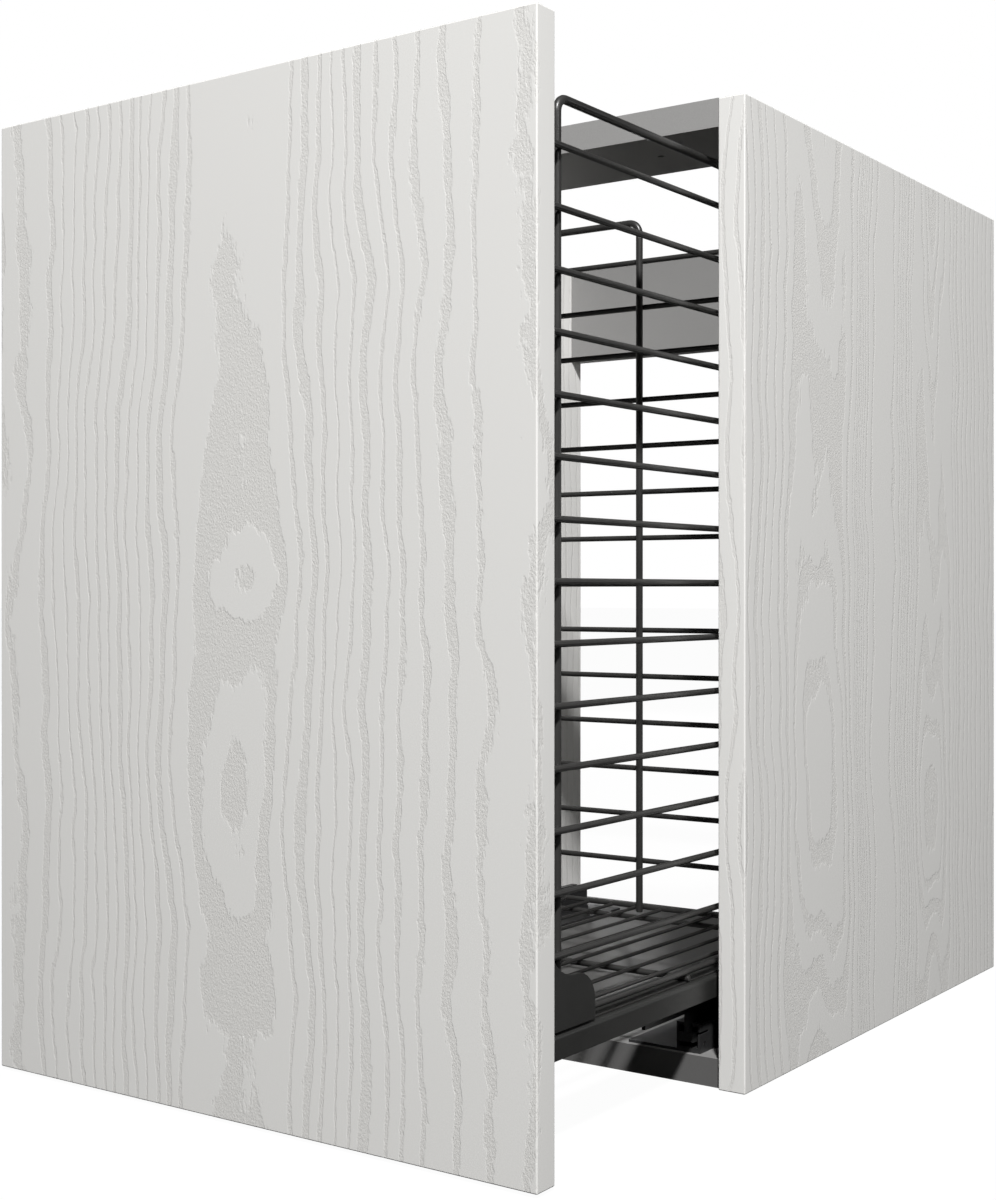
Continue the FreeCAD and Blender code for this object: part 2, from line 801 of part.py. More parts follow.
export("door_panel", [door_panel()])
right_buffers = door_buffers()
export("door_buffers", right_buffers + [mirrored(solid) for solid in right_buffers])
export_pair("inner_rail", [inner_rail()])
export_pair("frame_rail", [frame_rail()])
export("front_cross_bar", [front_cross_bar()])
export_pair("door_bracket", [door_bracket()])
export("door_clips", [door_clip(), mirrored(door_clip())])
door_screws = [screw(seat, (0, -1, 0)) for seat in door_screw_seats()]
export("door_screws", door_screws + [mirrored(solid) for solid in door_screws])
foot_screws = [screw(seat, (0, 0, -1), foot_screw_length) for seat in foot_screw_seats()]
export("foot_screws", foot_screws + [mirrored(solid) for solid in foot_screws])

for number in range(hoop_count):
    export("basket_hoop_%02d" % (number + 1), [hoop(lowest_hoop_z + number * hoop_pitch)])
export_pair("side_upright", [side_upright()])
export("rear_upright", [end_upright(hoop_back - upright_offset)])
export("front_upright", [end_upright(front_upright_y)])
export("cross_wires", cross_wires())
export("long_wires", long_wires())
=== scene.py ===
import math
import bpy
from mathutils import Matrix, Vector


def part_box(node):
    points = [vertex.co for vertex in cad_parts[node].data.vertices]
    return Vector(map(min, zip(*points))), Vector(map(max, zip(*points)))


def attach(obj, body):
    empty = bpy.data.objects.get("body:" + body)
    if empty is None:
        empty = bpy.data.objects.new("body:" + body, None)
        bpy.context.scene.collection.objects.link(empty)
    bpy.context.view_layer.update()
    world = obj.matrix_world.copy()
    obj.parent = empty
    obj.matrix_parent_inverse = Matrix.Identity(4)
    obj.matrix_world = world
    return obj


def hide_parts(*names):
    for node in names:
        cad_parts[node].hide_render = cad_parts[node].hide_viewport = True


bl_info = {
    "name": "Pull-out larder unit",
    "version": (1, 0, 0),
    "blender": (4, 5, 0),
    "location": "View3D > Sidebar > Larder",
    "description": "Dresses a base cabinet with a pull-out wire basket: boards, wires, runners and studio",
    "category": "Object",
}

import bmesh
import bpy
from bpy.props import FloatProperty, FloatVectorProperty, IntProperty, PointerProperty
from bpy.types import Operator, Panel, PropertyGroup
from mathutils import Matrix, Vector

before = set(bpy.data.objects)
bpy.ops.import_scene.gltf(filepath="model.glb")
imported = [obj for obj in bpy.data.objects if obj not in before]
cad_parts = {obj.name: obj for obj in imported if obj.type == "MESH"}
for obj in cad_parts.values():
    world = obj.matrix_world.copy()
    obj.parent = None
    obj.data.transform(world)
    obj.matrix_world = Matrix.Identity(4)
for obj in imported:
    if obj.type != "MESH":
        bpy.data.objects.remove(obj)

MM = 0.001


# ------------------------------------------------------------------ sizes and colours

def wire_size(node):
    """Thickness of a wire that lies flat in its node's box."""
    low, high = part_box(node)
    return high.z - low.z


class LarderWires(PropertyGroup):
    hoop_wire: FloatProperty(
        name="Hoop wire", description="Thickness of the basket's hoops",
        default=wire_size("basket_hoop_01"), min=0.001, unit="LENGTH")
    upright_wire: FloatProperty(
        name="Upright wire", description="Thickness of the upright arches",
        default=6 * MM, min=0.001, unit="LENGTH")
    hoop_corner: FloatProperty(
        name="Hoop corner", description="Bend radius at the hoops' corners",
        default=25 * MM, min=0.005, unit="LENGTH")
    upright_corner: FloatProperty(
        name="Upright corner", description="Bend radius at the top of the arches",
        default=10 * MM, min=0.005, unit="LENGTH")
    sides: IntProperty(
        name="Sides", description="Faces around a wire", default=14, min=6, max=32)
    bend_steps: IntProperty(
        name="Bend steps", description="Steps in a quarter turn of a wire", default=8, min=3, max=24)


class LarderBoards(PropertyGroup):
    foil_colour: FloatVectorProperty(
        name="Foil", description="Colour of the white foil on door and sides",
        default=(0.755, 0.748, 0.728), size=3, min=0, max=1, subtype="COLOR")
    # Painted shade: the foil is darkened down in the grooves, where shade falls in the grain
    painted_groove_shade_colour: FloatVectorProperty(
        name="Foil in grooves", description="Colour of the foil down in the embossed grain",
        default=(0.67, 0.66, 0.638), size=3, min=0, max=1, subtype="COLOR")
    relief_depth: FloatProperty(
        name="Relief depth", description="Depth of the embossed grain",
        default=0.3 * MM, min=0, unit="LENGTH")
    laminate_colour: FloatVectorProperty(
        name="Laminate", description="Colour of the grey laminate inside the carcass",
        default=(0.25, 0.247, 0.243), size=3, min=0, max=1, subtype="COLOR")
    edge_radius: FloatProperty(
        name="Edge radius", description="Rounding of the boards' edges",
        default=1.1 * MM, min=0, unit="LENGTH")


class LarderFrame(PropertyGroup):
    shoulder_radius: FloatProperty(
        name="Shoulder", description="Rounding of the frame rail's outer shoulder",
        default=3.8 * MM, min=0, unit="LENGTH")
    groove_width: FloatProperty(
        name="Groove width", description="Width of the groove behind the shoulder",
        default=2.4 * MM, min=0, unit="LENGTH")
    groove_depth: FloatProperty(
        name="Groove depth", description="Depth of the groove behind the shoulder",
        default=1.6 * MM, min=0, unit="LENGTH")
    flange_sheet: FloatProperty(
        name="Flange sheet", description="Thickness of the frame rail's flange",
        default=2.5 * MM, min=0, unit="LENGTH")
    web_sheet: FloatProperty(
        name="Web sheet", description="Thickness of the frame rail's web",
        default=4.2 * MM, min=0, unit="LENGTH")
    bracket_sheet: FloatProperty(
        name="Bracket sheet", description="Thickness of the door bracket's plate",
        default=2.5 * MM, min=0, unit="LENGTH")
    bracket_gap: FloatProperty(
        name="Bracket gap", description="Gap between the bracket's arm and the frame rail",
        default=1.2 * MM, min=0, unit="LENGTH")
    arm_height: FloatProperty(
        name="Arm height", description="Height of the bracket's arm along the frame",
        default=34.7 * MM, min=0, unit="LENGTH")
    arm_corner: FloatProperty(
        name="Arm corner", description="Rounding of the upper corner at the arm's rear end",
        default=21.0 * MM, min=0, unit="LENGTH")
    flare: FloatProperty(
        name="Flare", description="Radius where the bracket's arm runs up into its leg",
        default=30.0 * MM, min=0, unit="LENGTH")
    leg_corner: FloatProperty(
        name="Leg corner", description="Rounding of the top of the bracket's leg",
        default=8.0 * MM, min=0, unit="LENGTH")
    leg_width: FloatProperty(
        name="Leg width", description="Width of the bracket's leg up the door",
        default=32.3 * MM, min=0, unit="LENGTH")
    foot_length: FloatProperty(
        name="Foot length", description="Length of the bracket's foot on the frame rail",
        default=36.0 * MM, min=0, unit="LENGTH")
    foot_width: FloatProperty(
        name="Foot width", description="Width of the bracket's foot on the frame rail",
        default=25.0 * MM, min=0, unit="LENGTH")
    screw_head: FloatProperty(
        name="Screw head", description="Thickness of the pan heads",
        default=2.0 * MM, min=0, unit="LENGTH")
    soft_edge: FloatProperty(
        name="Soft edge", description="Rounding of the edges of pressed and moulded pieces",
        default=0.25 * MM, min=0, unit="LENGTH")


class LarderMetals(PropertyGroup):
    wire_colour: FloatVectorProperty(
        name="Wire coat", description="Colour of the powder coat on the basket",
        default=(0.032, 0.0315, 0.0305), size=3, min=0, max=1, subtype="COLOR")
    frame_colour: FloatVectorProperty(
        name="Frame coat", description="Colour of the coat on frame and brackets",
        default=(0.022, 0.022, 0.021), size=3, min=0, max=1, subtype="COLOR")
    runner_colour: FloatVectorProperty(
        name="Runner steel", description="Colour of the runners' dark steel",
        default=(0.024, 0.024, 0.0245), size=3, min=0, max=1, subtype="COLOR")


class LarderStudio(PropertyGroup):
    key_power: FloatProperty(
        name="Key light", description="Power of the lamp high in front on the right",
        default=480.0, min=0, unit="POWER")
    fill_power: FloatProperty(
        name="Fill light", description="Power of the weak lamp low in front on the left",
        default=1.2, min=0, unit="POWER")
    side_power: FloatProperty(
        name="Side light", description="Power of the lamp high on the right",
        default=5.5, min=0, unit="POWER")
    rear_power: FloatProperty(
        name="Rear light", description="Power of the weak lamp low behind on the right",
        default=3.5, min=0, unit="POWER")
    back_power: FloatProperty(
        name="Back light", description="Power of the lamp behind on the left, for looks from behind",
        default=42.0, min=0, unit="POWER")
    key_size: FloatProperty(
        name="Key size", description="Width of the key lamp; a larger one softens the shadows",
        default=0.31, min=0.01, unit="LENGTH")
    room_light: FloatProperty(
        name="Room light", description="Strength of the even light from all round", default=0.007, min=0)
    floor_shade: FloatProperty(
        name="Floor shade", description="How much of the floor's own light and shadow shows",
        default=0.03, min=0, max=1, subtype="FACTOR")


# ------------------------------------------------------------------ finishes

class Recipe:
    """The shader of one finish, built up step by step."""

    def __init__(self, name, colour, roughness, metallic=0.0):
        self.material = bpy.data.materials.new(name)
        self.material.use_nodes = True
        self.tree = self.material.node_tree
        self.shader = self.tree.nodes["Principled BSDF"]
        self.shader.inputs["Base Color"].default_value = (*colour, 1)
        self.shader.inputs["Roughness"].default_value = roughness
        self.shader.inputs["Metallic"].default_value = metallic

    def step(self, kind, inputs=(), **settings):
        """One node; inputs are numbers or other steps' sockets, in socket order or by name."""
        node = self.tree.nodes.new("ShaderNode" + kind)
        for key, value in settings.items():
            setattr(node, key, value)
        pairs = inputs.items() if isinstance(inputs, dict) else enumerate(inputs)
        for key, value in pairs:
            if isinstance(value, bpy.types.NodeSocket):
                self.tree.links.new(value, node.inputs[key])
            elif value is not None:
                node.inputs[key].default_value = value
        return node

    def math(self, operation, *inputs):
        return self.step("Math", inputs, operation=operation).outputs[0]

    def place(self, stretch=(1, 1, 1), turn=(0, 0, 0)):
        """Object coordinates in metres, stretched and turned."""
        coordinates = self.step("TexCoord").outputs["Object"]
        inputs = {"Vector": coordinates, "Scale": stretch, "Rotation": turn}
        return self.step("Mapping", inputs).outputs[0]

    def noise(self, vector, scale, detail=2.0, roughness=0.5):
        inputs = {"Vector": vector, "Scale": scale, "Detail": detail, "Roughness": roughness}
        return self.step("TexNoise", inputs).outputs["Fac"]

    def ramp(self, value, low, high, to_low=0.0, to_high=1.0, smooth=False):
        kind = "SMOOTHSTEP" if smooth else "LINEAR"
        step = self.step("MapRange", (value, low, high, to_low, to_high), interpolation_type=kind)
        return step.outputs[0]

    def spread(self, noise, to_low=0.0, to_high=1.0):
        """Brings the span that most of a noise lies in to two values."""
        return self.ramp(noise, 0.3, 0.7, to_low, to_high)

    def blend_colours(self, factor, first, second):
        inputs = {"Factor": factor, "A": (*first, 1), "B": (*second, 1)}
        step = self.step("Mix", data_type="RGBA")
        for name, value in inputs.items():
            socket = [s for s in step.inputs if s.name == name and s.enabled][0]
            if isinstance(value, bpy.types.NodeSocket):
                self.tree.links.new(value, socket)
            else:
                socket.default_value = value
        return [s for s in step.outputs if s.enabled][0]

    def curve(self, value, points):
        """A smooth curve through given points between 0 and 1."""
        step = self.step("FloatCurve", {"Value": value})
        line = step.mapping.curves[0]
        line.points[0].location = points[0]
        line.points[1].location = points[-1]
        for point in points[1:-1]:
            line.points.new(*point)
        step.mapping.update()
        return step.outputs[0]

    def colour(self, socket):
        self.tree.links.new(socket, self.shader.inputs["Base Color"])

    def roughness(self, socket):
        self.tree.links.new(socket, self.shader.inputs["Roughness"])

    def bump(self, height, distance):
        step = self.step("Bump", {"Strength": 1.0, "Distance": distance, "Height": height})
        self.tree.links.new(step.outputs[0], self.shader.inputs["Normal"])


def scaled(points, x_low, x_high, y_high):
    """Curve points given in millimetres and rings, brought to the curve's 0 to 1."""
    return [((x - x_low) / (x_high - x_low), y / y_high) for x, y in points]


# The curves below span these millimetres to each side of a board's middle, this height, and
# this many rings
HALF_SPAN = 260.0
BOARD_HEIGHT = 720.0
MOST_RINGS = 16.0

# Rings counted across the door from its middle, as (millimetres from the middle, rings)
DOOR_RINGS = [
    (-260, 15.6), (-215, 14.6), (-190, 13.4), (-150, 10.2), (-100, 5.6), (-60, 2.1), (-32, 0.6),
    (0, 0.0), (30, 0.5), (52, 1.9), (100, 5.8), (150, 9.4), (180, 10.9), (215, 12.3), (260, 13.2),
]
# Rings gained or lost up the middle of the door's figure, as (height, rings + 1)
DOOR_HEART = [
    (0, 1.8), (55, 1.75), (95, 1.3), (125, 1.55), (150, 1.3), (198, 1.0), (225, 0.8), (252, 0.98),
    (290, 1.45), (330, 1.7), (356, 1.1), (372, 0.95), (392, 1.15), (412, 1.45), (440, 1.56),
    (537, 1.72), (634, 2.0), (680, 2.15), (720, 2.5),
]
SIDE_RINGS = [
    (-260, 9.5), (-205, 4.6), (-165, 1.3), (-130, 0.0), (-100, 1.0), (-65, 4.4), (-8, 12.4),
    (40, 7.2), (72, 2.4), (101, 0.8), (128, 2.4), (165, 7.2), (260, 15.8),
]
SIDE_HEART = [
    (0, 5.0), (60, 3.6), (124, 2.3), (217, 1.0), (300, 1.7), (380, 2.8), (523, 4.0), (720, 5.6),
]
SIDE_SECOND_HEART = [
    (0, 4.8), (68, 3.4), (96, 2.4), (160, 1.0), (251, 2.4), (335, 3.4), (429, 4.4), (720, 7.0),
]


# The grain of a board: turn brings its width to x, rings counts the rings across it, hearts are
# (middle, half width, rings up its height), widening broadens the grooves near a heart, and the
# shares scale the grooves' painted shade and depth.
DOOR_GRAIN = {
    "turn": (0, 0, 0), "rings": DOOR_RINGS, "hearts": [(0.0, 42.0, DOOR_HEART)],
    "widening": 0.3, "painted_groove_shade_share": 0.8, "relief_share": 1.1,
}
SIDE_GRAIN = {
    "turn": (0, 0, -math.pi / 2), "rings": SIDE_RINGS,
    "hearts": [(-130.0, 40.0, SIDE_HEART), (101.0, 30.0, SIDE_SECOND_HEART)],
    "widening": 0.12, "painted_groove_shade_share": 0.65, "relief_share": 1.25,
}


# Slow changes along the grain: (strength, width and height of one change in millimetres, detail,
# place in the noise). The first two move the lines by millimetres, the next two count in rings,
# and the last one is a share of a ring.
SWAY = (34.0, 260.0, 150.0, 1.0, 3.1)
KINKS = (5.5, 70.0, 46.0, 1.0, 7.7)
GROWTH = (1.5, 46.0, 120.0, 2.0, 1.3)
FRAY = (0.3, 3.0, 9.0, 3.0, 5.9)
BROADENING = (0.16, 60.0, 90.0, 1.0, 9.4)
# A groove's place in its ring, as shares of the ring
NARROWEST_GROOVE = 0.17
WIDEST_GAIN = 0.4
GROOVE_END = 0.97
GROOVE_EDGE = 0.045


def foil_finish(name, face, grain):
    """White foil embossed with a plain-sawn grain: smooth raised wood and rough grooves with a painted
    shade.

    face is the millimetres that the board's front face lies at once it is turned, and grain is
    one of the records above.
    """
    boards = bpy.context.scene.larder_boards
    recipe = Recipe(name, boards.foil_colour, 0.42)
    turn = grain["turn"]
    place = recipe.place(stretch=(1 / MM, 1 / MM, 1 / MM), turn=turn)
    parts = recipe.step("SeparateXYZ", (place,))
    x, y, z = parts.outputs[0], parts.outputs[1], parts.outputs[2]
    # The rings run on slanting through the board's thickness, so its edges show them too
    depth = recipe.math("SUBTRACT", y, face)
    across = recipe.math("MULTIPLY_ADD", depth, 0.9, x)

    def changed(value, wave):
        """The value with one of the slow changes added."""
        strength, width, height, detail, start = wave
        vector = recipe.step("CombineXYZ", (
            recipe.math("DIVIDE", across, width), start, recipe.math("DIVIDE", z, height)))
        change = recipe.math("SUBTRACT", recipe.noise(vector.outputs[0], 1.0, detail), 0.5)
        return recipe.math("MULTIPLY_ADD", change, strength, value)

    # Lines lean together in wide sways and kink together in short ones
    drifted = changed(changed(across, SWAY), KINKS)

    position = recipe.ramp(drifted, -HALF_SPAN, HALF_SPAN)
    count = recipe.curve(position, scaled(grain["rings"], -HALF_SPAN, HALF_SPAN, MOST_RINGS))
    total = recipe.math("MULTIPLY", count, MOST_RINGS)
    height = recipe.ramp(z, 0.0, BOARD_HEIGHT)
    figure = 0.0
    for middle, half_width, heart in grain["hearts"]:
        off = recipe.math("DIVIDE", recipe.math("SUBTRACT", drifted, middle), half_width)
        fade = recipe.math("EXPONENT", recipe.math("MULTIPLY", recipe.math("MULTIPLY", off, off), -1.0))
        gain = recipe.curve(height, scaled(heart, 0, BOARD_HEIGHT, MOST_RINGS))
        gain = recipe.math("MULTIPLY_ADD", gain, MOST_RINGS, -1.0)
        total = recipe.math("MULTIPLY_ADD", gain, fade, total)
        figure = recipe.math("MAXIMUM", fade, figure)
    # Growth varies from place to place, and each line's edge is frayed
    total = changed(changed(total, GROWTH), FRAY)

    # Each ring ends in a groove of its own width
    ring = recipe.math("FLOOR", total)
    within = recipe.math("FRACT", total)
    chance = recipe.step("TexWhiteNoise", {"W": ring}, noise_dimensions="1D").outputs["Value"]
    width = recipe.math("POWER", chance, 3.0)
    width = recipe.math("MULTIPLY_ADD", width, WIDEST_GAIN, NARROWEST_GROOVE)
    width = changed(width, BROADENING)
    width = recipe.math("MULTIPLY_ADD", figure, grain["widening"], width)
    start = recipe.math("SUBTRACT", GROOVE_END, width)
    rise = recipe.ramp(recipe.math("SUBTRACT", within, start), 0.0, GROOVE_EDGE)
    fall = recipe.ramp(within, 1.0 - GROOVE_EDGE, 1.0, 1.0, 0.0)
    groove = recipe.math("MINIMUM", rise, fall)

    # Grooves are pebbled and carry a painted shade, raised wood has a barely uneven skin
    fine = recipe.place(stretch=(1 / MM, 1 / MM, 0.56 / MM), turn=turn)
    pebbles = recipe.noise(fine, 1.0, 3.0, 0.6)
    skin = recipe.noise(fine, 2.2, 2.0)
    share = grain["painted_groove_shade_share"]
    # Painted shade in the grooves, broken up by the pebbles
    painted_groove_shade = recipe.math("MULTIPLY", groove, recipe.spread(pebbles, share, 0.72 * share))
    recipe.colour(recipe.blend_colours(painted_groove_shade, boards.foil_colour, boards.painted_groove_shade_colour))
    recipe.roughness(recipe.ramp(groove, 0.0, 1.0, 0.4, 0.6))
    relief = recipe.math("MULTIPLY", groove, -1.0)
    relief = recipe.math("MULTIPLY_ADD", recipe.math("MULTIPLY", groove, pebbles), 1.15, relief)
    relief = recipe.math("MULTIPLY_ADD", skin, 0.035, relief)
    recipe.bump(relief, boards.relief_depth * grain["relief_share"])
    recipe.shader.inputs["Specular IOR Level"].default_value = 0.35
    return recipe.material


def laminate_finish(node, shade, painted_edge_light_and_shade, painted_far_shade):
    """Plain grey melamine with a fine speckle, with an overall painted shade, painted light and shade on
    its front edge and painted shade on its far part.
    """
    name = "laminate_of_" + node
    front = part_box(node)[0].y
    colour = [value * shade for value in bpy.context.scene.larder_boards.laminate_colour]
    recipe = Recipe(name, colour, 0.45)
    place = recipe.place()
    speckle = recipe.noise(place, 900.0, 3.0, 0.7)
    clouds = recipe.noise(place, 9.0, 2.0)
    mottle = recipe.math("MULTIPLY", clouds, 0.3)
    mottle = recipe.math("MULTIPLY_ADD", recipe.ramp(speckle, 0.35, 0.65), 0.7, mottle)
    lighter = [value * 1.05 for value in colour]
    darker = [value * 0.93 for value in colour]
    along = recipe.step("SeparateXYZ", (place,)).outputs[1]
    # Painted light and shade: each board's front edge is made lighter or darker as light falls on it, and
    # its far part darker towards the back as painted shade
    edge = recipe.ramp(along, front + 0.3 * MM, front + 0.7 * MM, painted_edge_light_and_shade, 1.0)
    far = recipe.ramp(along, front + 40 * MM, front + 110 * MM, 1.0, painted_far_shade)
    painted_light_and_shade = recipe.math("MULTIPLY", edge, far)
    mottled = recipe.blend_colours(mottle, darker, lighter)
    recipe.colour(recipe.step("HueSaturation", {"Color": mottled, "Value": painted_light_and_shade}).outputs[0])
    recipe.roughness(recipe.spread(speckle, 0.4, 0.52))
    recipe.bump(speckle, 0.03 * MM)
    return recipe.material


def coat_finish(name, colour, roughness, grain=1.0):
    """Satin powder coat: an even colour with a fine orange peel."""
    recipe = Recipe(name, colour, roughness)
    place = recipe.place()
    peel = recipe.noise(place, 1400.0, 2.0)
    patches = recipe.noise(place, 35.0, 3.0)
    lighter = [value * 1.15 for value in colour]
    darker = [value * 0.88 for value in colour]
    recipe.colour(recipe.blend_colours(patches, darker, lighter))
    recipe.roughness(recipe.spread(patches, roughness - 0.04, roughness + 0.05))
    recipe.bump(peel, 0.03 * MM * grain)
    recipe.shader.inputs["Specular IOR Level"].default_value = 0.5
    return recipe.material


def rolled_steel_finish(name, colour, roughness, metallic=0.7):
    """Rolled steel with fine lines along its length and worn, greased patches."""
    recipe = Recipe(name, colour, roughness, metallic)
    lines = recipe.noise(recipe.place(stretch=(1, 0.02, 1)), 2600.0, 2.0)
    patches = recipe.noise(recipe.place(stretch=(1, 0.35, 1)), 60.0, 4.0, 0.6)
    lighter = [min(1.0, value * 1.35) for value in colour]
    darker = [value * 0.75 for value in colour]
    recipe.colour(recipe.blend_colours(recipe.spread(patches), darker, lighter))
    recipe.roughness(recipe.spread(patches, roughness + 0.08, roughness - 0.06))
    recipe.bump(lines, 0.02 * MM)
    return recipe.material


def moulded_finish(name, colour, roughness):
    """Moulded plastic with a fine spark-eroded texture."""
    recipe = Recipe(name, colour, roughness)
    place = recipe.place()
    spark = recipe.noise(place, 2200.0, 3.0, 0.6)
    flow = recipe.noise(place, 50.0, 2.0)
    recipe.colour(recipe.blend_colours(flow, [v * 0.9 for v in colour], [v * 1.12 for v in colour]))
    recipe.roughness(recipe.spread(flow, roughness - 0.05, roughness + 0.05))
    recipe.bump(spark, 0.04 * MM)
    return recipe.material


def beech_finish():
    """Bare beech dowels with short flecks along their length."""
    dark, light = (0.42, 0.27, 0.14), (0.66, 0.48, 0.29)
    recipe = Recipe("beech", light, 0.6)
    flecks = recipe.noise(recipe.place(stretch=(0.12, 1, 1)), 900.0, 3.0)
    recipe.colour(recipe.blend_colours(recipe.ramp(flecks, 0.35, 0.65), dark, light))
    recipe.bump(flecks, 0.05 * MM)
    return recipe.material


def clear_rubber_finish():
    """Cloudy clear rubber for the door's bumpers."""
    recipe = Recipe("clear_rubber", (0.7, 0.7, 0.69), 0.3)
    haze = recipe.noise(recipe.place(), 400.0, 2.0)
    recipe.colour(recipe.blend_colours(haze, (0.62, 0.62, 0.6), (0.76, 0.76, 0.75)))
    recipe.roughness(recipe.spread(haze, 0.25, 0.38))
    recipe.shader.inputs["Transmission Weight"].default_value = 0.4
    recipe.bump(haze, 0.02 * MM)
    return recipe.material


# ------------------------------------------------------------------ shared making

def edges_at(verts):
    """The edges that meet the points, each once and in a fixed order."""
    return list(dict.fromkeys(edge for vert in verts for edge in vert.link_edges))


def start_wire(bm, start, direction, radius, sides):
    """A ring of edges across a wire's first end."""
    turn = direction.to_track_quat("Z", "X").to_matrix().to_4x4()
    place = Matrix.Translation(start) @ turn
    made = bmesh.ops.create_circle(bm, segments=sides, radius=radius, matrix=place)
    return edges_at(made["verts"])


def run_wire(bm, edges, offset):
    """Draws the wire's ring straight on and returns the ring at its new end."""
    made = bmesh.ops.extrude_edge_only(bm, edges=edges)
    verts = {item for item in made["geom"] if isinstance(item, bmesh.types.BMVert)}
    bmesh.ops.translate(bm, verts=list(verts), vec=offset)
    return [
        item for item in made["geom"]
        if isinstance(item, bmesh.types.BMEdge) and all(vert in verts for vert in item.verts)
    ]


def bend_wire(bm, edges, centre, axis, angle, steps):
    """Turns the wire's ring about centre and returns the ring at its new end."""
    made = bmesh.ops.spin(bm, geom=edges, cent=centre, axis=axis, angle=angle, steps=steps)
    return [item for item in made["geom_last"] if isinstance(item, bmesh.types.BMEdge)]


def close_end(bm, edges, radius):
    """Fills a wire's end and rounds its rim."""
    made = bmesh.ops.edgeloop_fill(bm, edges=edges)
    bmesh.ops.bevel(
        bm, geom=list(made["faces"][0].edges), offset=radius * 0.35, segments=2, profile=0.5,
        affect="EDGES", material=-1)


def straight_piece(bm, start, end, radius, sides):
    """A straight round wire or pin with rounded ends."""
    direction = (end - start).normalized()
    first = start_wire(bm, start, direction, radius, sides)
    last = run_wire(bm, first, end - start)
    close_end(bm, first, radius)
    close_end(bm, last, radius)


def add_piece(name, bm, material, body, slot, *nodes):
    """Makes a bmesh a piece that rides on a body and stands for the CAD nodes named."""
    bmesh.ops.recalc_face_normals(bm, faces=bm.faces)
    mesh = bpy.data.meshes.new(name)
    bm.to_mesh(mesh)
    bm.free()
    mesh.shade_smooth()
    mesh.set_sharp_from_angle(angle=math.radians(35))
    mesh.materials.append(material)
    piece = bpy.data.objects.new(name, mesh)
    bpy.context.scene.collection.objects.link(piece)
    piece.modifiers.new("flat_faces_stay_flat", "WEIGHTED_NORMAL").keep_sharp = True
    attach(piece, body)
    if nodes:
        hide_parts(*nodes)
    return piece


def coat_nodes(material, *nodes):
    """Gives CAD nodes that keep their own shape a finish."""
    for node in nodes:
        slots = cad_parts[node].material_slots
        for place in slots:
            place.material = material
        if not slots:
            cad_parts[node].data.materials.append(material)


def solids_of(node):
    """Lowest and highest corner of each separate solid in a CAD node."""
    bm = bmesh.new()
    bm.from_mesh(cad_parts[node].data)
    bmesh.ops.remove_doubles(bm, verts=bm.verts, dist=0.01 * MM)
    left = set(bm.verts)
    boxes = []
    while left:
        reached = [left.pop()]
        for vert in reached:
            for edge in vert.link_edges:
                other = edge.other_vert(vert)
                if other in left:
                    left.remove(other)
                    reached.append(other)
        corners = [vert.co.copy() for vert in reached]
        low = Vector([min(corner[axis] for corner in corners) for axis in range(3)])
        high = Vector([max(corner[axis] for corner in corners) for axis in range(3)])
        boxes.append((low, high))
    bm.free()
    return sorted(boxes, key=lambda pair: tuple(pair[0]))


def rounded_outline(corners, steps=6):
    """Points of a flat outline given as corners (a, b, radius), each corner an arc."""
    points = []
    for index, (a, b, radius) in enumerate(corners):
        here = Vector((a, b))
        if not radius:
            points.append(here)
            continue
        back = (Vector(corners[index - 1][:2]) - here).normalized()
        ahead = (Vector(corners[(index + 1) % len(corners)][:2]) - here).normalized()
        half = back.angle(ahead) / 2
        centre = here + (back + ahead).normalized() * radius / math.sin(half)
        start = here + back * radius / math.tan(half) - centre
        end = here + ahead * radius / math.tan(half) - centre
        for step in range(steps + 1):
            points.append(centre + start.lerp(end, step / steps).normalized() * radius)
    return points


def drawn_out(bm, outline, place, travel):
    """Draws a flat outline, put in place by a function, out along travel into a solid."""
    face = bm.faces.new([bm.verts.new(place(point)) for point in outline])
    made = bmesh.ops.extrude_face_region(bm, geom=[face])
    verts = [item for item in made["geom"] if isinstance(item, bmesh.types.BMVert)]
    bmesh.ops.translate(bm, verts=verts, vec=travel)


def add_block(bm, low, high, radius, segments=2):
    """Adds a block with all its edges rounded to a bmesh."""
    place = Matrix.Translation((low + high) / 2) @ Matrix.Diagonal((*(high - low), 1))
    made = bmesh.ops.create_cube(bm, size=1.0, matrix=place)
    bmesh.ops.bevel(
        bm, geom=edges_at(made["verts"]), offset=radius, segments=segments, profile=0.5,
        affect="EDGES", material=-1)


def board(node):
    """A bmesh of a board with softly rounded edges, in its CAD node's box."""
    bm = bmesh.new()
    add_block(bm, *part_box(node), bpy.context.scene.larder_boards.edge_radius, segments=3)
    return bm


def soften(width, *nodes):
    """Rounds the sharp edges of CAD nodes that keep their own shape."""
    for node in nodes:
        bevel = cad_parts[node].modifiers.new("soft_edges", "BEVEL")
        bevel.limit_method = "ANGLE"
        bevel.angle_limit = math.radians(50)
        bevel.width = width
        bevel.segments = 2
        bevel.harden_normals = True


# The side of a pan head from its seat up, as shares of its height and its radius
PAN_PROFILE = ((0.45, 1.0), (0.7, 0.94), (0.9, 0.8), (1.0, 0.62))


